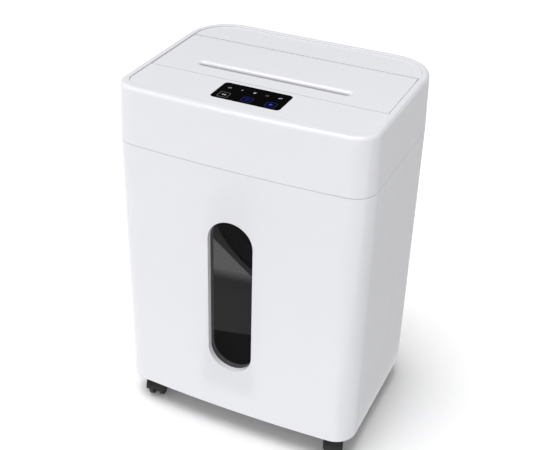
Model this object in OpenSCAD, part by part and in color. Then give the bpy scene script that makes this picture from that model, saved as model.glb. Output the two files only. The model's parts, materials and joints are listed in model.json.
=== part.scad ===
// Pull-out-bin paper shredder: a gloss white cabinet on twin-wheel casters, a drawer front with a
// smoked window, and a head that holds the cutters, the gear train and the touch panel.
// Millimetres, +Z up, front towards -Y, origin on the floor under the middle of the casing.

/* [Casing] */
// Width across the sides
width = 380; // [300:1:460]
// Depth, crown of the front included
depth = 295; // [240:1:360]
// Height of the rim above the floor
height = 550; // [470:1:650]
// Height of the casing's underside above the floor
ground = 45; // [40:1:60]
// Height of the seam between cabinet and head
seam = 465; // [400:1:520]
// Depth of the drawer front's wrap round the sides
wrap = 51.5; // [45:0.5:70]
// Radius of the front corners
front_r = 34; // [20:1:50]
// Radius of the rear corners
rear_r = 66; // [30:1:80]
// How far the front is crowned in the middle
crown = 7.4; // [2:0.1:12]
// Wall thickness of the mouldings
wall = 3; // [2:0.5:4]

/* [Window] */
// Middle of the window, the slot and the touch panel, from the middle of the casing
centre_x = -4; // [-10:1:10]
// Width of the window
window_w = 70; // [40:1:120]
// Height of the window
window_h = 260; // [100:1:300]
// Height of the window's lower end above the casing's underside
window_z = 79; // [40:1:120]
// How far the pane lies behind the front
pane_depth = 9; // [4.5:0.1:10]

/* [Feed] */
// Length of the paper slot
slot_w = 226; // [150:1:240]
// Gap of the paper slot at its throat
slot_gap = 8; // [5:0.5:12]
// Position of the slot behind the middle of the casing
slot_y = -16; // [-40:1:0]
// Touch panel width
glass_w = 101; // [60:1:140]
// Touch panel depth
glass_d = 50; // [30:1:60]
// Touch panel position behind the middle of the casing
glass_y = -84.5; // [-100:0.5:-80]

/* [Cutters] */
// Distance between the two cutter shafts
shaft_gap = 38; // [34:1:44]
// Radius of the cutter discs
disc_r = 20.5; // [19:0.5:24]
// Width of one cutter disc and its space
disc_pitch = 8; // [4:1:10]

/* [Casters] */
// Caster wheel radius
wheel_r = 19; // [15:1:22]
// Angle of the casters about their stems
caster_turn = 17; // [-180:1:180]

/* [Hidden] */
$fn = 64;
fit = 0.05;       // radial clearance of a running fit
gap = 0.3;        // gap between a moving and a fixed moulding
eps = 0.5;        // overlap of a cutter past the face it opens

front_y = -depth / 2;
back_y = depth / 2;
side_seam = front_y + wrap;
crown_r = pow(width / 2, 2) / (2 * crown);
draft = 2.5;
rim_r = 6;
seam_line = 0.5;   // height of the groove between cabinet and head

pan_t = 2.5;
pan_top = seam + pan_t;
deck_top = height - 2;
deck_t = 3;
deck_z = deck_top - deck_t;
deck_side = 13.2;
deck_front = 17.7;
deck_back = 14.8;
ledge_in = 17.5;
ledge_t = 3.5;
rim_in = 13;       // inset of the rim's inner face at the sides
lid_front = -51;
lid_left_gap = 0.6;
lid_right_gap = 1.8;
hinge_y = 74;
knuckle_r = 3.4;
hinge_z = deck_top - knuckle_r;
pin_r = 1.5;
pin_in = 12;       // length of a hinge pin in the lid
pin_out = 4.5;     // length of a hinge pin in the rim
mouth_r = 10;
throat_z = deck_z - 3.5;
key_pitch = 35;
lamp_pitch = 18.7;

shaft_z = 500;
front_shaft_y = slot_y - shaft_gap / 2;
rear_shaft_y = slot_y + shaft_gap / 2;
journal_r = 6;
core_r = 8;
sleeve_r = 12;
plate_x = 119;
plate_t = 3;
bush_r = 9;
disc_count = 28;
disc_side = 0.15;  // side clearance of a disc in its space

stage_one = 1;     // gear modules of the three stages
stage_two = 1.5;
stage_three = 2;
sync_teeth = 19;
main_teeth = 26;
second_pinion = 12;
second_teeth = 32;
first_pinion = 12;
first_teeth = 54;
motor_teeth = 12;
second_dz = 6;
first_dz = -2;
reach_three = stage_three * (main_teeth + second_pinion) / 2;
reach_two = stage_two * (second_teeth + first_pinion) / 2;
reach_one = stage_one * (first_teeth + motor_teeth) / 2;
second_y = rear_shaft_y + sqrt(pow(reach_three, 2) - pow(second_dz, 2));
second_z = shaft_z + second_dz;
first_y = second_y + sqrt(pow(reach_two, 2) - pow(first_dz, 2));
first_z = second_z + first_dz;
motor_y = first_y + reach_one;
motor_z = first_z;
motor_r = 30;
motor_x = 15;
motor_shaft_r = 3;
gear_pin_r = 4;

pane_y = front_y + pane_depth;
window_r = window_w / 2;
window_low = ground + window_z + window_r;
window_high = ground + window_z + window_h - window_r;
bin_top = 440;
bin_floor = 62;
bin_half = 166;
bin_front = -134;
bin_back = 126;
bin_wall = 2.5;
boss_x = 110;
boss_z = [104, 414];
tray_z = ground + 1;
tray_t = 6;
rail_x = 116;

caster_x = 154;
caster_front = -102;
caster_rear = 92;
caster_rear_x = 134;
trail = 13;
stem_r = 4;
swivel_z = 43;
web_half = 3.7;
tread_w = 10;
hood_half = 15;

service_x = -80;
service_z = 500;
vent_x = 20;
vent_pitch = 7;
vent_count = 13;
inlet_x = -98;
switch_x = -54;
service_y = 140;
rocker_y = 138.5;
rocker_tilt = 10;
rocker_pin_r = 1.2;

// ---- shared shapes ----

function arc(x, y, r, from, to, steps, first = 0, last = 0) =
    [for (i = [first : steps - last])
        let (a = from + (to - from) * i / steps) [x + r * cos(a), y + r * sin(a)]];

// The casing's outline, inset by its own amount at the sides, the front and the back.
function outline(side = 0, front = 0, back = 0) =
    let (half = width / 2 - side,
         fr = front_r - side,
         rr = rear_r - side,
         cr = crown_r - front,
         cy = front_y + crown_r,
         fx = half - fr,
         fy = cy - sqrt(pow(cr - fr, 2) - pow(fx, 2)),
         ry = back_y - back - rr,
         lean = atan2(fx, cy - fy))
    concat(arc(0, cy, cr, -90 - lean, -90 + lean, 16),
           arc(fx, fy, fr, -90 + lean, 0, 12, first = 1),
           arc(half - rr, ry, rr, 0, 90, 14),
           arc(rr - half, ry, rr, 90, 180, 14),
           arc(-fx, fy, fr, 180, 270 - lean, 12, last = 1));

function even(inset) = outline(inset, inset, inset);

function at_z(points, z) = [for (p = points) [p.x, p.y, z]];

// The faces of a band between each ring and the next one.
function band(rings, n, closed) =
    [for (k = [0 : rings - (closed ? 1 : 2)], i = [0 : n - 1])
        let (a = k * n, b = ((k + 1) % rings) * n, j = (i + 1) % n)
        each [[a + i, b + i, b + j], [a + i, b + j, a + j]]];

// A solid through a stack of rings, closed at both ends.
module loft(rings) {
    n = len(rings[0]);
    top = (len(rings) - 1) * n;
    caps = [[for (i = [0 : n - 1]) i], [for (i = [n - 1 : -1 : 0]) top + i]];
    polyhedron([for (r = rings) each r], concat(caps, band(len(rings), n, false)));
}

// A hollow wall through a loop of rings: up the outside and down the inside.
module loft_wall(rings) {
    polyhedron([for (r = rings) each r], band(len(rings), len(rings[0]), true));
}

module slab(points, z0, z1) {
    translate([0, 0, z0]) linear_extrude(z1 - z0) polygon(points);
}

module ring_slab(outer, inner, z0, z1) {
    translate([0, 0, z0]) linear_extrude(z1 - z0) difference() {
        polygon(outer);
        polygon(inner);
    }
}

// The half space in front of (or behind) a plane across the casing.
module front_of(y) {
    translate([-width, y - depth, -1]) cube([2 * width, depth, 2 * height]);
}

module behind(y) {
    translate([-width, y, -1]) cube([2 * width, depth, 2 * height]);
}

module block(x, y, z) {
    translate([x[0], y[0], z[0]]) cube([x[1] - x[0], y[1] - y[0], z[1] - z[0]]);
}

// Children on the right, and again on the left.
module mirrored() {
    for (m = [0, 1]) mirror([m, 0, 0]) children();
}

// Children drawn in the plane across X, and extruded along +X from x.
module along_x(x, y, z) {
    translate([x, y, z]) rotate([90, 0, 90]) children();
}

// Children drawn in the plane across Y, and extruded towards the front from y.
module along_front(x, y, z) {
    translate([x, y, z]) rotate([90, 0, 0]) children();
}

module rounded_rect(w, d, r) {
    union() {
        square([w - 2 * r, d], center = true);
        square([w, d - 2 * r], center = true);
        for (x = [r - w / 2, w / 2 - r], y = [r - d / 2, d / 2 - r]) translate([x, y]) circle(r);
    }
}

// The window's upright stadium, r wide each side, in the plane across Y.
module window_shape(r) {
    translate([centre_x, window_low]) circle(r);
    translate([centre_x, window_high]) circle(r);
    translate([centre_x - r, window_low]) square([2 * r, window_high - window_low]);
}

module window_prism(r, y0, y1) {
    along_front(0, y1, 0) linear_extrude(y1 - y0) window_shape(r);
}

// A spur gear outline: straight-flanked teeth, one of them centred on the angle turn.
module gear_outline(teeth, module_mm, turn) {
    pitch_r = teeth * module_mm / 2;
    tip_r = pitch_r + 0.85 * module_mm;
    root_r = pitch_r - 1.15 * module_mm;
    step = 360 / teeth;
    flanks = [[-0.33, root_r], [-0.10, tip_r], [0.10, tip_r], [0.33, root_r]];
    polygon([for (i = [0 : teeth - 1], f = flanks)
        let (a = turn + step * (i + f[0])) [f[1] * cos(a), f[1] * sin(a)]]);
}

module spur(teeth, module_mm, turn, face, bore) {
    linear_extrude(face) difference() {
        gear_outline(teeth, module_mm, turn);
        circle(bore);
    }
}

// The angle of the line from one gear's axis to the next one's.
function bearing(from_y, from_z, to_y, to_z) = atan2(to_z - from_z, to_y - from_y);

toward_second = bearing(rear_shaft_y, shaft_z, second_y, second_z);
toward_first = bearing(second_y, second_z, first_y, first_z);
toward_motor = bearing(first_y, first_z, motor_y, motor_z);

// ---- cabinet ----

module cabinet_shell() color("white") {
    intersection() {
        union() {
            ring_slab(even(0), even(wall), ground, seam);
            ring_slab(even(wall - eps), even(12), seam - 3, seam);
        }
        behind(side_seam);
    }
    mirrored() block([width / 2 - wall - 12, width / 2 - wall],
                     [side_seam, side_seam + 2.5], [ground, seam]);
}

module base_tray() color("dimgray") {
    difference() {
        union() {
            intersection() {
                union() {
                    slab(even(wall + gap), tray_z, tray_z + tray_t);
                    ring_slab(even(wall + gap), even(wall + gap + 3), tray_z, tray_z + 14);
                }
                behind(side_seam + 2.5 + gap);
            }
            slab(outline(16, 12, 20), tray_z, tray_z + tray_t);
            for (p = caster_places()) translate([p.x, p.y, tray_z]) cylinder(r = 14, h = 14);
        }
        for (p = caster_places()) translate([p.x, p.y, tray_z - eps]) cylinder(r = stem_r, h = 13);
    }
}

module bin_rail() {
    block([-4, 4], [-125, 118], [tray_z + tray_t, bin_floor - gap]);
}

module bin_rail_left() color("gray") translate([-rail_x, 0, 0]) bin_rail();

module bin_rail_right() color("gray") translate([rail_x, 0, 0]) bin_rail();

module cross_beam() color("silver") {
    end = width / 2 - wall - 0.1;
    difference() {
        block([-end, end], [side_seam + 2.6, side_seam + 16], [seam - 19, seam - 3.2]);
        block([-end - eps, end + eps], [side_seam + 4.6, side_seam + 16 + eps], [seam - 17, seam - 5.2]);
    }
}

// ---- drawer ----

module drawer_front() color("white") {
    low = ground;
    high = seam - gap;
    difference() {
        union() {
            intersection() {
                union() {
                    ring_slab(even(0), even(wall), low, high);
                    ring_slab(even(wall - eps), even(8), low, low + 3);
                    ring_slab(even(wall - eps), even(8), high - 3, high);
                }
                front_of(side_seam - 0.4);
            }
            window_prism(window_r + 9, front_y + wall - eps, pane_y - 0.1);
            for (x = [-boss_x, boss_x], z = boss_z)
                along_front(x, bin_front, z) cylinder(r = 6, h = bin_front - front_y - wall - 1);
        }
        window_prism(window_r, front_y - eps, pane_y + eps);
        for (x = [-boss_x, boss_x], z = boss_z)
            along_front(x, bin_front + eps, z) cylinder(r = 1.6, h = 7);
    }
}

module window_pane() color("black") {
    window_prism(window_r + 5, pane_y, pane_y + 2.5);
}

module bin_outline(inset) {
    back_r = 48 - inset;
    corner_r = 12 - inset;
    half = bin_half - inset;
    low = bin_front + inset;
    high = bin_back - inset;
    polygon(concat(arc(half - corner_r, low + corner_r, corner_r, -90, 0, 8),
                   arc(half - back_r, high - back_r, back_r, 0, 90, 14),
                   arc(back_r - half, high - back_r, back_r, 90, 180, 14),
                   arc(corner_r - half, low + corner_r, corner_r, 180, 270, 8)));
}

module waste_bin() color("black") {
    difference() {
        translate([0, 0, bin_floor]) linear_extrude(bin_top - bin_floor) bin_outline(0);
        translate([0, 0, bin_floor + bin_wall]) linear_extrude(bin_top) bin_outline(bin_wall);
        window_prism(window_r + 2, bin_front - eps, bin_front + bin_wall + eps);
        for (x = [-boss_x, boss_x], z = boss_z)
            along_front(x, bin_front + bin_wall + eps, z) cylinder(r = 1.6, h = bin_wall + 2 * eps);
    }
}

module bin_screws() color("silver") {
    for (x = [-boss_x, boss_x], z = boss_z) {
        along_front(x, bin_front + bin_wall, z) cylinder(r = 1.5, h = bin_wall + 6);
        along_front(x, bin_front + bin_wall + 1.8, z) cylinder(r = 3, h = 1.8);
    }
}

module bin_magnet() color("gray") {
    block([54, 66], [bin_back, bin_back + 5], [bin_top - 12, bin_top - 4]);
}

// ---- head ----

// Insets and heights of the head's wall: up the outside, over the rim, and down the inside.
rim_steps = 6;
rim_curve = [for (i = [0 : rim_steps])
    let (a = 90 * i / rim_steps, x = draft + rim_r * (1 - cos(a)))
    [x, x, x, height - rim_r + rim_r * sin(a)]];
head_profile = concat(
    [[0, 0, 0, seam + seam_line]],
    rim_curve,
    [[11.5, 15.5, 13, height],
     [12.6, 17, 14.2, height - 0.5],
     [rim_in, 17.5, 14.6, height - 1.6],
     [rim_in, 17.5, 14.6, deck_z],
     [ledge_in, ledge_in + 5, ledge_in + 2, deck_z],
     [ledge_in, ledge_in + 5, ledge_in + 2, deck_z - ledge_t],
     [draft + wall, draft + wall, draft + wall, deck_z - ledge_t],
     [wall + 0.2, wall + 0.2, wall + 0.2, seam + seam_line]]);

// The hinge's seats in the rim: a bore for each pin, and room in the ledge for the lid's knuckle.
module hinge_seats() {
    rim_x = width / 2 - rim_in;
    ledge_x = width / 2 - ledge_in;
    mirrored() {
        along_x(rim_x - eps, hinge_y, hinge_z) cylinder(r = pin_r, h = pin_out + eps);
        along_x(ledge_x - eps, hinge_y, hinge_z)
            linear_extrude(rim_x - ledge_x + eps) square(2 * knuckle_r + 1.2, center = true);
    }
}

module head_shell() color("white") {
    difference() {
        loft_wall([for (p = head_profile) at_z(outline(p[0], p[1], p[2]), p[3])]);
        block([service_x - 42, service_x + 42], [back_y - 12, back_y + 1],
              [service_z - 14, service_z + 14]);
        for (i = [0 : vent_count - 1])
            block([vent_x + i * vent_pitch, vent_x + i * vent_pitch + 3], [back_y - 12, back_y + 1],
                  [service_z - 14, service_z + 14]);
        hinge_seats();
    }
}

head_screw_places = concat([for (s = [-1, 1], y = [-60, 20]) [s * (width / 2 - 7.5), y]],
                           [for (s = [-1, 1]) [s * 90, back_y - 7.5]]);

module head_pan() color("dimgray") {
    difference() {
        union() {
            slab(even(0.4), seam, seam + seam_line);
            slab(even(wall + 0.6), seam, pan_top);
        }
        block([-plate_x + 2, plate_x - 2], [slot_y - 30, slot_y + 30], [seam - eps, pan_top + eps]);
    }
}

module head_screws() color("silver") {
    for (p = head_screw_places) translate([p.x, p.y, pan_top]) {
        cylinder(r = 3.4, h = 2);
        translate([0, 0, 2]) cylinder(r = 1.2, h = 0.4);
    }
}

module deck_plate(from_y, to_y) {
    intersection() {
        slab(outline(deck_side, deck_front, deck_back), deck_z, deck_top);
        block([-width, width], [from_y, to_y], [0, height]);
    }
}

// Children placed from the middle of the touch panel, at their own height above the floor.
module at_panel(x, y, z) {
    translate([centre_x + x, glass_y + y, z]) children();
}

module front_deck() color("white") {
    difference() {
        union() {
            deck_plate(front_y, lid_front - 0.4);
            for (x = [-44, 44], y = [-17, 17])
                at_panel(x, y, deck_z - 5.4) cylinder(r = 2.5, h = 5.4 + eps);
        }
        at_panel(0, 0, deck_top - 1.7) linear_extrude(5)
            rounded_rect(glass_w + 0.5, glass_d + 0.5, 6.2);
        at_panel(0, 0, deck_z - eps) linear_extrude(5)
            rounded_rect(glass_w - 24, glass_d - 6, 4);
    }
}

module rear_deck() color("white") deck_plate(hinge_y + knuckle_r + 0.8, back_y);

module lid_pins() color("silver") {
    mirrored() along_x(width / 2 - rim_in - pin_in, hinge_y, hinge_z)
        cylinder(r = pin_r, h = pin_in + pin_out);
}

// A level stadium ring round the paper slot, r each side of the slot's centre line.
function slot_ring(r, z) =
    let (half = slot_w / 2 - slot_gap / 2)
    at_z(concat(arc(centre_x + half, slot_y, r, -90, 90, 10),
                arc(centre_x - half, slot_y, r, 90, 270, 10)), z);

// The mouth's rounded lip, from the throat up to the lid's face.
mouth_steps = 6;
mouth_rings = [
    slot_ring(slot_gap / 2, throat_z - eps),
    each [for (i = [0 : mouth_steps])
        let (a = 90 * i / mouth_steps)
        slot_ring(slot_gap / 2 + (mouth_r - slot_gap / 2) * (1 - cos(a)),
                  deck_top - (deck_top - throat_z - 1.5) * (1 - sin(a)))],
    slot_ring(mouth_r, deck_top + eps)
];

module feed_lid() color("white") {
    left = lid_left_gap + rim_in - width / 2;
    right = width / 2 - rim_in - lid_right_gap;
    difference() {
        union() {
            block([left, right], [lid_front + 0.4, hinge_y], [deck_z, deck_top]);
            along_x(left, hinge_y, hinge_z) cylinder(r = knuckle_r, h = right - left);
            loft([slot_ring(mouth_r + 4, throat_z), slot_ring(mouth_r + 4, deck_z + eps)]);
        }
        loft(mouth_rings);
        mirrored() along_x(width / 2 - rim_in - pin_in - gap, hinge_y, hinge_z)
            cylinder(r = pin_r + fit, h = pin_in + gap);
    }
}

module touch_glass() color("black") {
    at_panel(0, 0, deck_top - 1.7) linear_extrude(2) rounded_rect(glass_w, glass_d, 6);
}

module control_board() color("green") {
    at_panel(0, 0, deck_z - 7) linear_extrude(1.6) rounded_rect(glass_w - 6, glass_d - 4, 2);
}

module board_leds() color("ivory") {
    for (i = [-1 : 1])
        at_panel(key_pitch * i - 2, -14, deck_z - 5.4) cube([4, 4, 2.4]);
    for (i = [-2 : 2])
        at_panel(lamp_pitch * i - 1.5, 10, deck_z - 5.4) cube([3, 3, 2]);
}

// Two sloped cheeks that lead the paper from the slot down to the cutters.
module throat_guide() color("black") {
    low = shaft_z + disc_r + 1;
    high = throat_z - 0.6;
    for (s = [-1, 1]) translate([0, slot_y, 0]) along_x(-plate_x + 1, 0, 0)
        linear_extrude(2 * plate_x - 2)
            polygon([[s * 4.5, high], [s * 3.5, low], [s * 6, low], [s * 22, high - 6], [s * 22, high]]);
}

module paper_sensor() color("dimgray") {
    block([-9, 9], [slot_y + 22, slot_y + 32], [throat_z - 14, throat_z - 1]);
}

// ---- cutting mechanism ----

module shaft_holes(r) {
    for (y = [front_shaft_y, rear_shaft_y]) translate([y, shaft_z]) circle(r);
}

rod_places = [for (y = [-66, 24], z = [478, 526]) [y, z]];

// A side plate's face in the plane across X, with its bearing seats and rod holes.
module plate_face(back, top) {
    difference() {
        translate([-74, pan_top]) square([back + 74, top - pan_top]);
        shaft_holes(bush_r);
        for (p = rod_places) translate(p) circle(3);
    }
}

module side_plate_left() color("silver") {
    along_x(-plate_x - plate_t, 0, 0) linear_extrude(plate_t) plate_face(36, 534);
    block([-plate_x - 14, -plate_x], [-50, 30], [pan_top, pan_top + 2]);
}

module side_plate_right() color("silver") {
    along_x(plate_x, 0, 0) linear_extrude(plate_t) difference() {
        plate_face(136, 537);
        translate([motor_y, motor_z]) circle(12);
        translate([first_y, first_z]) circle(gear_pin_r);
        translate([second_y, second_z]) circle(gear_pin_r);
    }
    block([plate_x, plate_x + 3], [-70, 130], [pan_top, pan_top + 2]);
}

module tie_rods() color("silver") {
    for (p = rod_places) {
        along_x(-plate_x - plate_t - 2, p[0], p[1]) cylinder(r = 3, h = 2 * (plate_x + plate_t) + 4);
        for (x = [-plate_x - plate_t - 3, plate_x + plate_t])
            along_x(x, p[0], p[1]) cylinder(r = 5.5, h = 3, $fn = 6);
    }
}

module shaft_bushings() color("goldenrod") {
    for (x = [-plate_x - plate_t, plate_x], y = [front_shaft_y, rear_shaft_y])
        along_x(x, y, shaft_z) linear_extrude(plate_t) difference() {
            circle(bush_r);
            circle(journal_r + fit);
        }
}

module cutter_shaft(y, right) {
    along_x(-plate_x - 21, y, shaft_z) cylinder(r = journal_r, h = plate_x + 21 + right);
    along_x(-plate_x + 0.5, y, shaft_z) cylinder(r = core_r, h = 2 * plate_x - 1);
}

module cutter_shaft_front() color("silver") cutter_shaft(front_shaft_y, plate_x + plate_t + 2);

module cutter_shaft_rear() color("silver") cutter_shaft(rear_shaft_y, plate_x + 43);

// One hooked disc: a round blank with four notches that leave a cutting point each.
module disc_face(turn) {
    difference() {
        circle(disc_r);
        circle(core_r);
        for (a = [0 : 90 : 270]) rotate(turn + a)
            polygon([[disc_r - 4, 0], [disc_r + 1, -0.6], [disc_r + 1, 8], [disc_r - 1.5, 6]]);
    }
}

module cutter_discs(y, start, twist) {
    first = -disc_count * disc_pitch / 2 + start;
    along_x(-disc_count * disc_pitch / 2 - 2, y, shaft_z) linear_extrude(disc_count * disc_pitch + 4)
        difference() {
            circle(sleeve_r);
            circle(core_r);
        }
    for (i = [0 : disc_count - 1])
        along_x(first + i * disc_pitch + disc_side, y, shaft_z)
            linear_extrude(disc_pitch / 2 - 2 * disc_side) disc_face(twist * i * 13);
}

module cutter_discs_front() color("gray") cutter_discs(front_shaft_y, 0, 1);

module cutter_discs_rear() color("gray") cutter_discs(rear_shaft_y, disc_pitch / 2, -1);

// A comb whose fingers clear the shreds from the spaces between one shaft's discs.
module stripper(y, side, start) {
    first = -disc_count * disc_pitch / 2 + start;
    root = y + side * (disc_r + 3);
    tip = y + side * (sleeve_r + 0.8);
    block([-plate_x + 0.2, plate_x - 0.2], [min(root, root + side * 5), max(root, root + side * 5)],
          [shaft_z - 13, shaft_z + 13]);
    for (i = [0 : disc_count - 2])
        block([first + (i + 0.5) * disc_pitch + 0.4, first + (i + 1) * disc_pitch - 0.4],
              [min(tip, root + side), max(tip, root + side)], [shaft_z - 7, shaft_z + 7]);
}

module stripper_front() color("dimgray") stripper(front_shaft_y, -1, 0);

module stripper_rear() color("dimgray") stripper(rear_shaft_y, 1, disc_pitch / 2);

// ---- gear train ----

sync_x = -plate_x - 17;
gear_x = plate_x + plate_t + 4;

module sync_gear_front() color("silver")
    along_x(sync_x, front_shaft_y, shaft_z)
        spur(sync_teeth, stage_three, 0, 11, journal_r);

module sync_gear_rear() color("silver")
    along_x(sync_x, rear_shaft_y, shaft_z)
        spur(sync_teeth, stage_three, 180 + 180 / sync_teeth, 11, journal_r);

module main_gear() color("silver")
    along_x(gear_x + 22, rear_shaft_y, shaft_z)
        spur(main_teeth, stage_three, toward_second, 12, journal_r);

module second_gear() color("silver") {
    along_x(gear_x + 10, second_y, second_z)
        spur(second_teeth, stage_two, toward_first, 11, gear_pin_r + fit);
    along_x(gear_x + 21 - eps, second_y, second_z)
        spur(second_pinion, stage_three, toward_second + 180 + 180 / second_pinion, 13.5,
             gear_pin_r + fit);
}

module first_gear() color("ivory") {
    along_x(gear_x, first_y, first_z)
        spur(first_teeth, stage_one, toward_motor, 9, gear_pin_r + fit);
    along_x(gear_x + 9 - eps, first_y, first_z)
        spur(first_pinion, stage_two, toward_first + 180 + 180 / first_pinion, 12.5,
             gear_pin_r + fit);
}

module gear_pins() color("silver") {
    for (p = [[first_y, first_z, 25.4], [second_y, second_z, 38.4]]) {
        along_x(plate_x, p[0], p[1]) cylinder(r = gear_pin_r, h = plate_t + p[2]);
        along_x(plate_x + plate_t + p[2], p[0], p[1]) cylinder(r = gear_pin_r + 2, h = 1.5);
    }
}

// ---- motor ----

module motor_can() color("silver") {
    length = plate_x - motor_x - 0.1;
    along_x(motor_x, motor_y, motor_z) difference() {
        cylinder(r = motor_r, h = length);
        translate([0, 0, 3]) cylinder(r = motor_r - 2, h = length - 6);
        translate([0, 0, -eps]) cylinder(r = motor_shaft_r + fit, h = length + 2 * eps);
    }
}

module motor_stator() color("gray") {
    along_x(motor_x + 22, motor_y, motor_z) linear_extrude(58) difference() {
        circle(motor_r - 2);
        circle(19);
    }
}

module motor_rotor() color("silver") {
    along_x(motor_x - 14, motor_y, motor_z) cylinder(r = motor_shaft_r, h = gear_x + 9 - motor_x + 14);
    along_x(motor_x + 20, motor_y, motor_z) cylinder(r = 18, h = 62);
    along_x(gear_x, motor_y, motor_z)
        spur(motor_teeth, stage_one, toward_motor + 180 + 180 / motor_teeth, 9, motor_shaft_r - 0.5);
}

module motor_fan() color("black") {
    along_x(motor_x - 13, motor_y, motor_z) difference() {
        union() {
            cylinder(r = 9, h = 10);
            linear_extrude(1.5) circle(26);
            for (a = [0 : 45 : 315]) rotate(a) translate([7, -0.8, 0]) cube([18.5, 1.6, 9]);
        }
        translate([0, 0, -eps]) cylinder(r = motor_shaft_r, h = 12);
    }
}

module motor_cradle() color("dimgray") {
    difference() {
        block([motor_x + 12, motor_x + 30], [motor_y - 20, motor_y + 20], [pan_top, motor_z - 15]);
        along_x(motor_x + 12 - eps, motor_y, motor_z) cylinder(r = motor_r, h = 18 + 2 * eps);
    }
}

// ---- electrics ----

module power_board() color("green") {
    block([-150, -20], [46, 112], [pan_top + 6, pan_top + 7.6]);
    for (x = [-144, -26], y = [52, 106]) translate([x, y, pan_top]) cylinder(r = 3, h = 6 + eps);
}

module board_parts() color("dimgray") {
    top = pan_top + 7.6;
    block([-142, -112], [58, 84], [top, top + 24]);
    block([-104, -84], [56, 72], [top, top + 16]);
    block([-76, -56], [56, 72], [top, top + 16]);
    block([-46, -30], [54, 74], [top, top + 12]);
    translate([-96, 92, top]) cylinder(r = 8, h = 26);
    translate([-72, 92, top]) cylinder(r = 6, h = 18);
    block([-58, -28], [90, 104], [top, top + 10]);
}

module reed_switch() color("black") {
    block([53, 67], [bin_back - 2, bin_back + 6], [bin_top + 4, seam]);
}

module service_plate() color("black") {
    difference() {
        block([service_x - 47, service_x + 47], [service_y, service_y + 2.5],
              [service_z - 19, service_z + 19]);
        block([inlet_x - 14, inlet_x + 14], [service_y - 1, service_y + 3],
              [service_z - 10, service_z + 10]);
        block([switch_x - 10.5, switch_x + 10.5], [service_y - 1, service_y + 3],
              [service_z - 7.5, service_z + 7.5]);
    }
}

module mains_inlet() color("black") {
    difference() {
        union() {
            block([inlet_x - 14, inlet_x + 14], [service_y - 22, service_y + 3],
                  [service_z - 10, service_z + 10]);
            block([inlet_x - 16, inlet_x + 16], [service_y + 2.5, service_y + 4],
                  [service_z - 12, service_z + 12]);
        }
        block([inlet_x - 12, inlet_x + 12], [service_y - 14, service_y + 5],
              [service_z - 8, service_z + 8]);
        for (p = inlet_pin_places)
            block([p.x - 2, p.x + 2], [service_y - 23, service_y - 13], [p.y - 1, p.y + 1]);
    }
}

inlet_pin_places = [[inlet_x, service_z + 2], [inlet_x - 7, service_z - 2], [inlet_x + 7, service_z - 2]];

module inlet_pins() color("goldenrod") {
    for (p = inlet_pin_places)
        block([p.x - 2, p.x + 2], [service_y - 28, service_y - 1], [p.y - 1, p.y + 1]);
}

module switch_housing() color("black") {
    difference() {
        union() {
            block([switch_x - 10.5, switch_x + 10.5], [service_y - 14, service_y + 3],
                  [service_z - 7.5, service_z + 7.5]);
            block([switch_x - 12, switch_x + 12], [service_y + 2.5, service_y + 4],
                  [service_z - 9, service_z + 9]);
        }
        block([switch_x - 9.4, switch_x + 9.4], [service_y - 8, service_y + 5],
              [service_z - 6, service_z + 6]);
        translate([switch_x, rocker_y, service_z - 7]) cylinder(r = rocker_pin_r + fit, h = 14);
    }
}

// The rocker, seen from above with its back end down: a shallow V that turns about the upright pin.
module power_rocker() color("black") {
    translate([switch_x, rocker_y, service_z - 5.7]) rotate(-rocker_tilt) linear_extrude(11.4)
        polygon([[-8, 4.5], [-6, -2], [0, -4], [6, -2], [8, 4.5], [0, 3.2]]);
    translate([switch_x, rocker_y, service_z - 6.8]) cylinder(r = rocker_pin_r, h = 13.6);
}

// ---- casters ----

function caster_places() = [[-caster_x, caster_front], [caster_x, caster_front],
                            [-caster_rear_x, caster_rear], [caster_rear_x, caster_rear]];

module at_caster(i) {
    p = caster_places()[i];
    translate([p.x, p.y, 0]) rotate(caster_turn) children();
}

module caster_mounts() color("silver") {
    for (p = caster_places()) translate([p.x, p.y, 0]) {
        translate([0, 0, swivel_z]) cylinder(r = 12, h = tray_z - swivel_z);
        translate([0, 0, tray_z - eps]) cylinder(r = stem_r, h = 12);
    }
}

// The fork: a web between the wheels, a half-round hood over them and a collar round the stem.
module caster_fork(i) {
    hood_in = wheel_r + 0.8;
    hood_out = wheel_r + 3;
    top = swivel_z - gap;
    color("black") at_caster(i) difference() {
        union() {
            along_x(-web_half, -trail, wheel_r) cylinder(r = wheel_r - 4, h = 2 * web_half);
            along_x(-hood_half, -trail, wheel_r) linear_extrude(2 * hood_half) intersection() {
                difference() {
                    circle(hood_out);
                    circle(hood_in);
                }
                translate([-30, 3]) square([60, 30]);
            }
            along_x(-web_half, -trail, wheel_r) linear_extrude(2 * web_half) intersection() {
                circle(hood_in + 1);
                translate([-30, 3]) square([60, 30]);
            }
            difference() {
                translate([0, 0, wheel_r + 3]) cylinder(r = 11, h = top - wheel_r - 3);
                along_x(-hood_half - 1, -trail, wheel_r) cylinder(r = hood_in + 1, h = 2 * hood_half + 2);
            }
        }
        along_x(-hood_half - 1, -trail, wheel_r) cylinder(r = 2.5 + fit, h = 2 * hood_half + 2);
        translate([-30, -60, top]) cube([60, 90, 30]);
    }
}

// A pair of wheels on one axle, each with its outer face domed towards the hub.
module caster_wheels(i) {
    color("dimgray") at_caster(i) {
        mirrored() along_x(web_half + gap, -trail, wheel_r)
            rotate_extrude() polygon([[0, 0], [wheel_r - 0.8, 0], [wheel_r, 0.8],
                                      [wheel_r, tread_w - 3.6], [wheel_r - 1, tread_w - 2.2],
                                      [wheel_r - 4, tread_w - 0.7], [wheel_r - 8, tread_w],
                                      [0, tread_w]]);
        along_x(-web_half - gap - 1, -trail, wheel_r) cylinder(r = 2.5, h = 2 * (web_half + gap + 1));
    }
}

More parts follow.
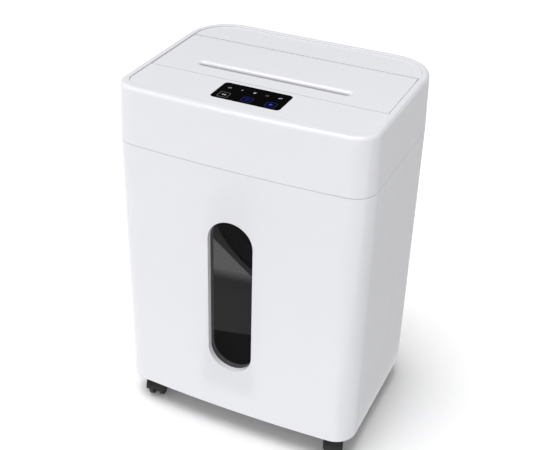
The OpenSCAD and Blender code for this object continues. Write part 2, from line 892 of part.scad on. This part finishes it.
module caster_fork_fl() caster_fork(0);
module caster_fork_fr() caster_fork(1);
module caster_fork_rl() caster_fork(2);
module caster_fork_rr() caster_fork(3);
module caster_wheels_fl() caster_wheels(0);
module caster_wheels_fr() caster_wheels(1);
module caster_wheels_rl() caster_wheels(2);
module caster_wheels_rr() caster_wheels(3);

cabinet_shell();
base_tray();
bin_rail_left();
bin_rail_right();
cross_beam();
caster_mounts();
drawer_front();
window_pane();
waste_bin();
bin_screws();
bin_magnet();
head_shell();
head_pan();
head_screws();
front_deck();
rear_deck();
feed_lid();
lid_pins();
touch_glass();
control_board();
board_leds();
throat_guide();
paper_sensor();
side_plate_left();
side_plate_right();
tie_rods();
shaft_bushings();
stripper_front();
stripper_rear();
cutter_shaft_front();
cutter_discs_front();
cutter_shaft_rear();
cutter_discs_rear();
sync_gear_front();
sync_gear_rear();
main_gear();
second_gear();
first_gear();
gear_pins();
motor_can();
motor_stator();
motor_rotor();
motor_fan();
motor_cradle();
power_board();
board_parts();
reed_switch();
service_plate();
mains_inlet();
inlet_pins();
switch_housing();
power_rocker();
caster_fork_fl();
caster_wheels_fl();
caster_fork_fr();
caster_wheels_fr();
caster_fork_rl();
caster_wheels_rl();
caster_fork_rr();
caster_wheels_rr();
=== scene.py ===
"""Looks of the pull-out-bin paper shredder: soft-edged mouldings, materials, marks, light and camera.

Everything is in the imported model's frame, in metres unless a comment says millimetres. Places on the
shredder come from the frame's boxes.
"""

import json
import math

import bmesh
import bpy
from mathutils import Matrix, Vector

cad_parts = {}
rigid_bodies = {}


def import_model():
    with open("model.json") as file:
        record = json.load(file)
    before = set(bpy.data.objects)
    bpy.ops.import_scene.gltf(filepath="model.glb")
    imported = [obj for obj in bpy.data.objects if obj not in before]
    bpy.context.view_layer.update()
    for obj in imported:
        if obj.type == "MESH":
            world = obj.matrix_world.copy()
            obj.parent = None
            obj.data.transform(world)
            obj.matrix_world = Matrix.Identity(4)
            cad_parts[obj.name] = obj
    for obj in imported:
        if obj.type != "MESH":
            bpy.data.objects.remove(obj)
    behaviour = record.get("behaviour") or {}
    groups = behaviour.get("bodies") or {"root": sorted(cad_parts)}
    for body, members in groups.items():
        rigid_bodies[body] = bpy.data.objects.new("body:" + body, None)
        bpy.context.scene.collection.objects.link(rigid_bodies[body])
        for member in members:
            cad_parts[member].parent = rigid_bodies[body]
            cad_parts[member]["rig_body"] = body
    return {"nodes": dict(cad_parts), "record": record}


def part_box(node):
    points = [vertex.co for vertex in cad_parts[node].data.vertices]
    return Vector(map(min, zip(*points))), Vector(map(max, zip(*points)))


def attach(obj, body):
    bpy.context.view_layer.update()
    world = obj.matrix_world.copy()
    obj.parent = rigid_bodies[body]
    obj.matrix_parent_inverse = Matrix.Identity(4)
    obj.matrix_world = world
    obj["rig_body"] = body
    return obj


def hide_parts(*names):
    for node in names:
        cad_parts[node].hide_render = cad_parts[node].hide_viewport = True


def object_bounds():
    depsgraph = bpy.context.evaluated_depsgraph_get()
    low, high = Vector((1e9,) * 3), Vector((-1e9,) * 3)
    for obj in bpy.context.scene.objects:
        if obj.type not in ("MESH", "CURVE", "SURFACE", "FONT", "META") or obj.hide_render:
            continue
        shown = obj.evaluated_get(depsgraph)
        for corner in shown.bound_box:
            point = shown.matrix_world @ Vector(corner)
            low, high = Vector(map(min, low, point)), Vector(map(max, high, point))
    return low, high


MM = 0.001
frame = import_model()
cad_low, cad_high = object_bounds()


# ---- node helpers ----

class Shader:
    """A material's node tree, with short calls for the nodes the finishes share."""

    def __init__(self, name):
        self.material = bpy.data.materials.new(name)
        self.material.use_nodes = True
        self.tree = self.material.node_tree
        self.surface = self.tree.nodes["Principled BSDF"]
        self.coords = self.tree.nodes.new("ShaderNodeTexCoord").outputs["Object"]

    def node(self, kind, **inputs):
        made = self.tree.nodes.new(kind)
        for name, value in inputs.items():
            self.feed(made.inputs[name.replace("_", " ")], value)
        return made

    def feed(self, socket, value):
        if isinstance(value, bpy.types.NodeSocket):
            self.tree.links.new(value, socket)
        else:
            socket.default_value = value

    def set(self, **inputs):
        for name, value in inputs.items():
            self.feed(self.surface.inputs[name.replace("_", " ")], value)

    def stretched(self, scale):
        """Object coordinates scaled per axis, for brushed or drawn surfaces."""
        return self.node("ShaderNodeMapping", Vector=self.coords, Scale=scale).outputs["Vector"]

    def noise(self, scale, detail=4.0, vector=None):
        made = self.node("ShaderNodeTexNoise", Scale=scale, Detail=detail, Roughness=0.55)
        self.feed(made.inputs["Vector"], vector or self.coords)
        return made.outputs["Fac"]

    def ramp(self, fac, low, high, start=0.3, end=0.7):
        """fac remapped to run from one colour or grey to another."""
        made = self.node("ShaderNodeValToRGB", Fac=fac)
        elements = made.color_ramp.elements
        for element, place, value in zip(elements, (start, end), (low, high)):
            element.position = place
            element.color = (*value, 1) if isinstance(value, tuple) else (value,) * 3 + (1,)
        return made.outputs["Color"]

    def bump(self, height, strength, distance):
        made = self.node("ShaderNodeBump", Height=height, Strength=strength, Distance=distance)
        self.set(Normal=made.outputs["Normal"])


def gloss_white():
    """Polished white moulding: barely uneven colour, faint rub marks and a very shallow orange peel."""
    s = Shader("gloss_white")
    s.set(Base_Color=s.ramp(s.noise(5, 2), (0.77, 0.772, 0.80), (0.785, 0.787, 0.815), 0.2, 0.8),
          Roughness=s.ramp(s.noise(40, 6), 0.16, 0.24, 0.2, 0.8),
          Coat_Weight=0.3, Coat_Roughness=0.05)
    s.bump(s.noise(160, 1), 0.012, 0.2 * MM)
    return s.material


def satin_black(name, shade, grain):
    """Black moulding with a spark-eroded grain."""
    s = Shader(name)
    s.set(Base_Color=s.ramp(s.noise(18), (shade * 0.8,) * 3, (shade * 1.25,) * 3),
          Roughness=s.ramp(s.noise(90), 0.42, 0.58))
    s.bump(s.noise(grain, 3), 0.12, 0.15 * MM)
    return s.material


def smoked_pane():
    """Smoked acrylic: dark, glossy, with the faint haze of moulded sheet."""
    s = Shader("smoked_pane")
    s.set(Base_Color=s.ramp(s.noise(9), (0.003,) * 3, (0.007,) * 3),
          Roughness=s.ramp(s.noise(30), 0.02, 0.04),
          Specular_IOR_Level=0.9)
    s.bump(s.noise(14, 1), 0.002, 0.5 * MM)
    return s.material


def panel_glass():
    """Back-printed black glass with faint finger haze."""
    s = Shader("panel_glass")
    s.set(Base_Color=s.ramp(s.noise(30), (0.0006,) * 3, (0.0014,) * 3),
          Roughness=s.ramp(s.noise(45), 0.10, 0.18),
          Specular_IOR_Level=0.02)
    s.bump(s.noise(200, 1), 0.02, 0.05 * MM)
    return s.material


def metal(name, colour, rough, stretch):
    """Rolled or turned steel and bronze: fine lines along the stretch, with patchy sheen."""
    s = Shader(name)
    lines = s.noise(160, 6, s.stretched(stretch))
    dark = tuple(c * 0.82 for c in colour)
    s.set(Base_Color=s.ramp(s.noise(25), dark, colour), Metallic=1.0,
          Roughness=s.ramp(lines, rough * 0.8, rough * 1.3))
    s.bump(lines, 0.12, 0.08 * MM)
    return s.material


def nylon():
    """Natural nylon: warm white, slightly waxy."""
    s = Shader("nylon")
    s.set(Base_Color=s.ramp(s.noise(40), (0.72, 0.69, 0.58), (0.80, 0.77, 0.67)),
          Roughness=s.ramp(s.noise(120), 0.38, 0.5), Subsurface_Weight=0.05)
    s.bump(s.noise(350), 0.1, 0.1 * MM)
    return s.material


def circuit_board():
    """Solder mask over copper: green with slightly raised darker tracks."""
    s = Shader("circuit_board")
    cells = s.node("ShaderNodeTexVoronoi", Vector=s.coords, Scale=260.0)
    cells.distance = "CHEBYCHEV"
    tracks = s.ramp(cells.outputs["Distance"], 0.0, 1.0, 0.35, 0.42)
    s.set(Base_Color=s.ramp(tracks, (0.01, 0.11, 0.04), (0.02, 0.19, 0.07), 0.0, 1.0),
          Roughness=s.ramp(s.noise(80), 0.28, 0.4))
    s.bump(tracks, 0.2, 0.05 * MM)
    return s.material


def lamp():
    """Clear lamp body with a milky core."""
    s = Shader("lamp")
    s.set(Base_Color=s.ramp(s.noise(300), (0.85, 0.86, 0.80), (0.95, 0.95, 0.92)),
          Roughness=s.ramp(s.noise(200), 0.15, 0.25))
    return s.material


def printed_mark(name, colour, strength):
    """A back-lit mark: printed colour that glows a little, uneven as a real light guide is."""
    s = Shader(name)
    s.set(Base_Color=(*colour, 1), Roughness=0.4, Specular_IOR_Level=0.02,
          Emission_Color=s.ramp(s.noise(220), tuple(c * 0.85 for c in colour), colour),
          Emission_Strength=strength)
    return s.material


SLOT_FINISH = {
    "white_abs": gloss_white(),
    "black_plastic": satin_black("satin_black", 0.018, 1500),
    "dark_plastic": satin_black("satin_dark_grey", 0.06, 1100),
    "smoked_acrylic": smoked_pane(),
    "panel_glass": panel_glass(),
    "board_green": circuit_board(),
    "led_white": lamp(),
    "zinc_steel": metal("zinc_steel", (0.62, 0.63, 0.64), 0.34, (1, 6, 1)),
    "cutter_steel": metal("cutter_steel", (0.34, 0.34, 0.35), 0.3, (9, 1, 1)),
    "gear_steel": metal("gear_steel", (0.46, 0.46, 0.47), 0.38, (5, 1, 1)),
    "gear_nylon": nylon(),
    "bronze": metal("bronze", (0.72, 0.5, 0.24), 0.36, (4, 1, 1)),
    "caster_plastic": satin_black("caster_black", 0.003, 900),
}


# ---- the CAD's pieces, with softened edges ----

WELD = 2e-6           # vertices closer than this are one
FLAT_ANGLE = 0.5      # degrees below which two faces are one
SHARP_ANGLE = 35      # degrees above which an edge is rounded
SHADE_ANGLE = 40      # degrees above which an edge stays sharp in shading
FACE_WEIGHT = 100     # of a large face against a small one in the normals


def softened(node, width, segments=3):
    """A copy of a CAD node with its sharp edges rounded, which stands for the node."""
    source = frame["nodes"][node]
    mesh = bpy.data.meshes.new(node + "_soft")
    shape = bmesh.new()
    shape.from_mesh(source.data)
    bmesh.ops.remove_doubles(shape, verts=shape.verts, dist=WELD)
    bmesh.ops.dissolve_limit(shape, angle_limit=math.radians(FLAT_ANGLE), verts=shape.verts,
                             edges=shape.edges)
    sharp = [e for e in shape.edges
             if e.is_manifold and e.calc_face_angle(0) > math.radians(SHARP_ANGLE)]
    bmesh.ops.bevel(shape, geom=sharp, offset=width, segments=segments, profile=0.5,
                    affect="EDGES", clamp_overlap=True)
    shape.to_mesh(mesh)
    shape.free()
    mesh.shade_smooth()
    mesh.set_sharp_from_angle(angle=math.radians(SHADE_ANGLE))
    piece = bpy.data.objects.new(node + "_soft", mesh)
    bpy.context.scene.collection.objects.link(piece)
    flat_faces_stay_flat(piece)
    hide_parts(node)
    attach(piece, source["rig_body"])
    return piece


def flat_faces_stay_flat(piece):
    """Weight the normals by face size, so only the rounded edges shade as curved."""
    weighted = piece.modifiers.new("weighted", "WEIGHTED_NORMAL")
    weighted.keep_sharp = True
    weighted.weight = FACE_WEIGHT
    graph = bpy.context.evaluated_depsgraph_get()
    baked = bpy.data.meshes.new_from_object(piece.evaluated_get(graph))
    piece.modifiers.clear()
    baked.name = piece.data.name
    piece.data = baked


# Widths of the rounded edges in millimetres; nodes that are not named stay as they are.
SOFT_EDGES = {
    "cabinet_shell": 0.3, "drawer_front": 0.3, "head_shell": 0.2, "front_deck": 0.25,
    "rear_deck": 0.25, "feed_lid": 0.25, "touch_glass": 0.3, "window_pane": 0.3,
    "waste_bin": 0.5, "base_tray": 0.6, "head_pan": 0.15, "bin_rail_left": 0.8, "bin_rail_right": 0.8,
    "cross_beam": 0.4, "service_plate": 0.5, "mains_inlet": 0.35, "switch_housing": 0.35,
    "power_rocker": 0.4, "inlet_pins": 0.25, "reed_switch": 0.4, "bin_magnet": 0.4,
    "throat_guide": 0.4, "paper_sensor": 0.5, "side_plate_left": 0.3, "side_plate_right": 0.3,
    "stripper_front": 0.3, "stripper_rear": 0.3, "tie_rods": 0.3, "bin_screws": 0.3,
    "head_screws": 0.3, "main_gear": 0.2, "second_gear": 0.2, "first_gear": 0.12,
    "sync_gear_front": 0.2, "sync_gear_rear": 0.2, "gear_pins": 0.4,
    "motor_can": 0.8, "motor_cradle": 0.5, "motor_fan": 0.2, "motor_rotor": 0.2,
    "power_board": 0.15, "control_board": 0.15, "board_parts": 0.6, "board_leds": 0.3,
}
for place in ("fl", "fr", "rl", "rr"):
    SOFT_EDGES["caster_fork_" + place] = 0.4
    SOFT_EDGES["caster_wheels_" + place] = 0.3

# Each shown piece gets its finish from its material slot.
slots = {part["node"]: part["material_slot"] for part in frame["record"]["subparts"]}
for name, cad in frame["nodes"].items():
    shown = softened(name, SOFT_EDGES[name] * MM) if name in SOFT_EDGES else cad
    shown.data.materials.clear()
    shown.data.materials.append(SLOT_FINISH[slots[name]])


# ---- the touch panel's printed marks ----

QUARTERS = ((0, 1, 1), (90, -1, 1), (180, -1, -1), (270, 1, -1))    # start angle, x side, y side


def circle_arc(radius, start, end, steps=20):
    """Points on an arc round the origin, from one angle in degrees to another."""
    angles = [math.radians(start + (end - start) * i / steps) for i in range(steps + 1)]
    return [(radius * math.cos(a), radius * math.sin(a)) for a in angles]


def ring_part(radius, line, start, end):
    """A bent stroke round the origin."""
    return circle_arc(radius + line / 2, start, end) + circle_arc(radius - line / 2, end, start)


def box_outline(width, depth, line, corner):
    """The strokes of a rounded box: four straight sides and four corners."""
    x, y = width / 2, depth / 2
    strokes = []
    for side in (-1, 1):
        strokes.append(rectangle(0, side * y, width - 2 * corner, line))
        strokes.append(rectangle(side * x, 0, line, depth - 2 * corner))
    for start, sx, sy in QUARTERS:
        bend = ring_part(corner, line, start, start + 90)
        strokes.append([(px + sx * (x - corner), py + sy * (y - corner)) for px, py in bend])
    return strokes


def rounded_square(width, corner):
    """A filled square with rounded corners."""
    middle = width / 2 - corner
    return [(px + sx * middle, py + sy * middle) for start, sx, sy in QUARTERS
            for px, py in circle_arc(corner, start, start + 90, 6)]


def rectangle(x, y, width, depth):
    """A filled box round a middle."""
    w, d = width / 2, depth / 2
    return [(x - w, y - d), (x + w, y - d), (x + w, y + d), (x - w, y + d)]


def wave(y, width=5, line=0.7, steps=20):
    """A wavy stroke across, round the height y."""
    xs = [width * (i / steps - 0.5) for i in range(steps + 1)]
    middle = [(x, y + 0.5 * math.sin(1.6 * x)) for x in xs]
    return [(x, h + line / 2) for x, h in middle] + [(x, h - line / 2) for x, h in reversed(middle)]


def turned(strokes, angle):
    """Strokes turned about the origin by an angle in degrees."""
    c, s = math.cos(math.radians(angle)), math.sin(math.radians(angle))
    return [[(c * x - s * y, s * x + c * y) for x, y in stroke] for stroke in strokes]


# Every mark as filled outlines in millimetres round its own middle.
JAM = [wave(-1.1), wave(0.9)]
HEAT = [[(0.9, 2.6), (-1.3, 0.2), (-0.1, 0.2), (-0.9, -2.6), (1.3, -0.1), (0.1, -0.1)]]
BIN = [[(-1.8, 1.0), (-1.4, -1.9), (1.4, -1.9), (1.8, 1.0)], rectangle(0, 1.8, 4.6, 0.6)]
PAPER = box_outline(4.4, 3.6, 0.6, 0.8) + [rectangle(0, 0.2, 2.4, 0.6)]
DOOR = turned([rectangle(0, 0, 4.6, 2.2), rectangle(2.9, 0, 0.6, 3.4)], 32)
REWIND = [[(-3.4, 0), (-0.2, 2.2), (-0.2, -2.2)], [(-0.2, 0), (3.0, 2.2), (3.0, -2.2)]]
POWER = [ring_part(2.3, 0.7, 120, 420), rectangle(0, 1.9, 0.7, 2.4)]
FORWARD = [[(-2.3, 2.8), (3.0, 0), (-2.3, -2.8)]]
KEY = box_outline(14.5, 14.5, 0.55, 1.6)
KEY_FILL = [rounded_square(14, 1.4)]

# Places of the marks from the panel's middle, and heights and thickness of their films, in millimetres.
LAMP_PITCH = 18.5
LAMP_ROW = 9.8
KEY_PITCH = 34.5
KEY_ROW = -13.4
GLOW_LIFT = 0.02
LINE_LIFT = 0.04
SYMBOL_LIFT = 0.08
FILM = 0.03


def printed(name, strokes, x, y, finish, lift=LINE_LIFT):
    """Marks laid on the touch glass as a raised film, so they stay with the glass."""
    low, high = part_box("touch_glass")
    middle = (low + high) / 2
    shape = bmesh.new()
    for stroke in strokes:
        corners = [shape.verts.new((middle.x + (x + px) * MM, middle.y + (y + py) * MM,
                                    high.z + lift * MM)) for px, py in stroke]
        face = shape.faces.new(corners)
        face.normal_update()
        if face.normal.z < 0:
            face.normal_flip()
        rim = bmesh.ops.extrude_face_region(shape, geom=[face])["geom"]
        for vert in (g for g in rim if isinstance(g, bmesh.types.BMVert)):
            vert.co.z += FILM * MM
    bmesh.ops.recalc_face_normals(shape, faces=shape.faces)
    mesh = bpy.data.meshes.new(name)
    shape.to_mesh(mesh)
    shape.free()
    mesh.materials.append(finish)
    piece = bpy.data.objects.new(name, mesh)
    bpy.context.scene.collection.objects.link(piece)
    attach(piece, frame["nodes"]["touch_glass"]["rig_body"])


def print_panel():
    """Five lamps in the rear row and three keys in the front row."""
    white = printed_mark("mark_white", (0.34, 0.34, 0.36), 0.15)
    dim = printed_mark("mark_dim", (0.13, 0.11, 0.125), 0.06)
    line = printed_mark("mark_line", (0.17, 0.17, 0.18), 0.1)
    blue_line = printed_mark("mark_blue_line", (0.03, 0.035, 0.08), 0.15)
    blue_dim = printed_mark("mark_blue_dim", (0.02, 0.03, 0.16), 0.2)
    blue_glow = printed_mark("mark_blue_glow", (0.0004, 0.0006, 0.022), 0.3)
    blue = printed_mark("mark_blue", (0.04, 0.06, 0.38), 0.4)
    lamps = (("jam", JAM, white), ("heat", HEAT, white), ("full", BIN, white),
             ("paper", PAPER, dim), ("door", DOOR, white))
    for i, (name, strokes, finish) in enumerate(lamps):
        printed("mark_" + name, strokes, LAMP_PITCH * (i - 2), LAMP_ROW, finish)
    keys = (("rewind", REWIND, line, white, None), ("power", POWER, blue_line, blue_dim, blue_glow),
            ("forward", FORWARD, blue_line, blue, blue_glow))
    for i, (name, strokes, edge, symbol, glow) in enumerate(keys):
        x = KEY_PITCH * (i - 1)
        printed("mark_key_" + name, KEY, x, KEY_ROW, edge)
        printed("mark_" + name, strokes, x, KEY_ROW, symbol, SYMBOL_LIFT)
        if glow:
            printed("mark_glow_" + name, KEY_FILL, x, KEY_ROW, glow, GLOW_LIFT)


print_panel()


# ---- floor, light and camera ----

FLOOR_HALF = 25


def floor():
    """A pale sheet out to the horizon, which glows a little so that its shadows stay soft."""
    mesh = bpy.data.meshes.new("floor")
    corners = [(x * FLOOR_HALF, y * FLOOR_HALF, 0) for x, y in ((-1, -1), (1, -1), (1, 1), (-1, 1))]
    mesh.from_pydata(corners, [], [range(len(corners))])
    s = Shader("floor")
    s.set(Base_Color=s.ramp(s.noise(2), (0.90,) * 3, (0.92,) * 3), Roughness=0.9,
          Specular_IOR_Level=0.0, Emission_Color=(1, 1, 1, 1), Emission_Strength=0.08)
    mesh.materials.append(s.material)
    piece = bpy.data.objects.new("floor", mesh)
    piece.location.z = cad_low.z
    bpy.context.scene.collection.objects.link(piece)


# The way towards the bright side of the dome, and the dome's level against the cosine to it.
SKY_FRONT = (-0.35, -0.85, 0.4)
SKY_RANGE = {"From Min": -0.4, "From Max": 0.9, "To Min": 0.13, "To Max": 0.74}
SKY_TINT = (0.975, 0.98, 1.0, 1)


def sky():
    """A soft dome, brightest ahead of the casing and dark behind it and on its right."""
    world = bpy.data.worlds.new("studio")
    world.use_nodes = True
    tree = world.node_tree
    way = tree.nodes.new("ShaderNodeTexCoord").outputs["Generated"]
    facing = tree.nodes.new("ShaderNodeVectorMath")
    facing.operation = "DOT_PRODUCT"
    facing.inputs[1].default_value = SKY_FRONT
    tree.links.new(way, facing.inputs[0])
    level = tree.nodes.new("ShaderNodeMapRange")
    tree.links.new(facing.outputs["Value"], level.inputs["Value"])
    for socket, value in SKY_RANGE.items():
        level.inputs[socket].default_value = value
    background = tree.nodes["Background"]
    background.inputs["Color"].default_value = SKY_TINT
    tree.links.new(level.outputs["Result"], background.inputs["Strength"])
    bpy.context.scene.world = world


def sun(direction, strength, softness):
    """A wide sun: direction points to it, and softness is its width in degrees."""
    light = bpy.data.lights.new("sun", "SUN")
    light.energy = strength
    light.angle = math.radians(softness)
    made = bpy.data.objects.new("sun", light)
    made.rotation_euler = Vector(direction).to_track_quat("Z", "Y").to_euler()
    bpy.context.scene.collection.objects.link(made)


# The camera, worked out from the casing's edges: angles in degrees, distance in metres, lens in mm.
CAMERA_YAW = 23.796
CAMERA_PITCH = 32.01
CAMERA_ROLL = 1.77
CAMERA_DISTANCE = 1.50324
CAMERA_AIM = Vector((-3.3, 3.7, 297.6)) * MM
CAMERA_LENS = 64.38
SENSOR_WIDTH = 36


def camera():
    """The camera, turned by its yaw, pitch and roll about the point that it aims at."""
    yaw, pitch, roll = (math.radians(a) for a in (CAMERA_YAW, CAMERA_PITCH, CAMERA_ROLL))
    back = Vector((math.sin(yaw) * math.cos(pitch), -math.cos(yaw) * math.cos(pitch), math.sin(pitch)))
    right = Vector((0, 0, 1)).cross(back).normalized()
    up = back.cross(right)
    turned_right = right * math.cos(roll) + up * math.sin(roll)
    turned_up = up * math.cos(roll) - right * math.sin(roll)
    data = bpy.data.cameras.new("camera")
    data.lens = CAMERA_LENS
    data.sensor_width = SENSOR_WIDTH
    made = bpy.data.objects.new("camera", data)
    made.matrix_world = Matrix.Translation(CAMERA_AIM + back * CAMERA_DISTANCE) @ Matrix(
        (turned_right, turned_up, back)).transposed().to_4x4()
    bpy.context.scene.collection.objects.link(made)
    bpy.context.scene.camera = made
    return made


CARD_Z = cad_low.z + 1 * MM    # cards lie just above the floor


def mirrored_in_pane(eye, across, up):
    """The floor point that the eye sees mirrored at a place on the window pane, given as shares."""
    low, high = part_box("window_pane")
    place = Vector((low.x + across * (high.x - low.x), low.y, low.z + up * (high.z - low.z)))
    behind = Vector((eye.x, 2 * low.y - eye.y, eye.z))
    ray = place - behind
    return place + ray * ((CARD_Z - place.z) / ray.z)


# The edge between the dark and the lighter part of the painted reflection that the cards draw in the
# window pane, as shares of the pane.
PAINTED_REFLECTION_EDGE = ((0.15, 1.1), (0.17, 0.94), (0.31, 0.865), (0.5, 0.8), (0.67, 0.753), (1.1, 0.67))
EDGE_LINE = 0.014
UPPER_EDGE = tuple((x, y + EDGE_LINE) for x, y in PAINTED_REFLECTION_EDGE)

# Where the mirrored floor fades into the middle card, through painted-reflection cards of rising
# brightness.
FADE_LOW = 0.60
FADE_HEIGHT = 0.05
FADE_STEPS = 5
FADE_RISE = 0.03    # how much higher the fade lies at the pane's right

# Painted reflection: cards laid out from the camera's eye and hidden from it, whose reflections draw
# bands of light and painted shade across the window pane. Each card has a brightness, and corners as
# shares of the pane.
PAINTED_PANE_REFLECTION_CARDS = {
    "card_band": (0.27, (*PAINTED_REFLECTION_EDGE, (1.1, 0.616), (-0.1, 0.893), (-0.1, 1.1))),
    "card_line": (0.0, (*PAINTED_REFLECTION_EDGE, *reversed(UPPER_EDGE))),
    "card_shade": (0.06, (*UPPER_EDGE, (1.1, 1.2), (0.15, 1.2))),
    "card_middle": (0.28, ((-0.1, 0.60), (1.1, 0.63), (1.1, 0.295), (-0.1, 0.23))),
    "card_low": (0.05, ((-0.1, 0.23), (1.1, 0.295), (1.1, -0.1), (-0.1, -0.1))),
}
for i in range(FADE_STEPS):
    fade_low, fade_high = (FADE_LOW + FADE_HEIGHT * (i + step) / FADE_STEPS for step in (0, 1))
    PAINTED_PANE_REFLECTION_CARDS[f"card_fade_{i}"] = (0.3 + 0.7 * (i + 0.5) / FADE_STEPS, (
        (-0.1, fade_high), (1.1, fade_high + FADE_RISE), (1.1, fade_low + FADE_RISE), (-0.1, fade_low)))


def light_card(name, level, corners, seen_in_gloss=True):
    """A glowing card that shows only in mirror-like surfaces, or only lights the matt ones."""
    mesh = bpy.data.meshes.new(name)
    mesh.from_pydata(corners, [], [range(len(corners))])
    s = Shader(name)
    s.set(Base_Color=(0, 0, 0, 1), Specular_IOR_Level=0.0,
          Emission_Color=(1, 1, 1, 1), Emission_Strength=level)
    mesh.materials.append(s.material)
    piece = bpy.data.objects.new(name, mesh)
    piece.visible_camera = False
    piece.visible_diffuse = not seen_in_gloss
    piece.visible_glossy = seen_in_gloss
    piece.visible_shadow = False
    bpy.context.scene.collection.objects.link(piece)


def light_cards(eye):
    """The pane's painted-reflection cards; one dim card on the floor beside the casing, which paints
    shade into the reflections on the casing's right side; and one that stands far to its right.
    """
    # painted reflection: each card lies where the camera's eye sees it mirrored in the pane
    for name, (level, corners) in PAINTED_PANE_REFLECTION_CARDS.items():
        light_card(name, level, [mirrored_in_pane(eye, *corner) for corner in corners])
    # card_side is painted shade: a dim card seen only in gloss, so the casing's right side mirrors it
    # darker than the lit floor
    near, far = cad_high.x + 20 * MM, 1.7
    light_card("card_side", 0.45, [(near, -0.3, CARD_Z), (far, -0.3, CARD_Z), (far, 3.0, CARD_Z),
                                   (near, 3.0, CARD_Z)])
    light_card("fill_right", 1.2, [(0.9, -0.7, CARD_Z), (0.9, -0.1, CARD_Z), (0.9, -0.1, 0.3),
                                   (0.9, -0.7, 0.3)], seen_in_gloss=False)


floor()
sky()
sun(direction=(-0.06, -0.09, 0.7), strength=2.35, softness=40)
light_cards(camera().location)
bpy.context.scene.view_settings.view_transform = "Standard"
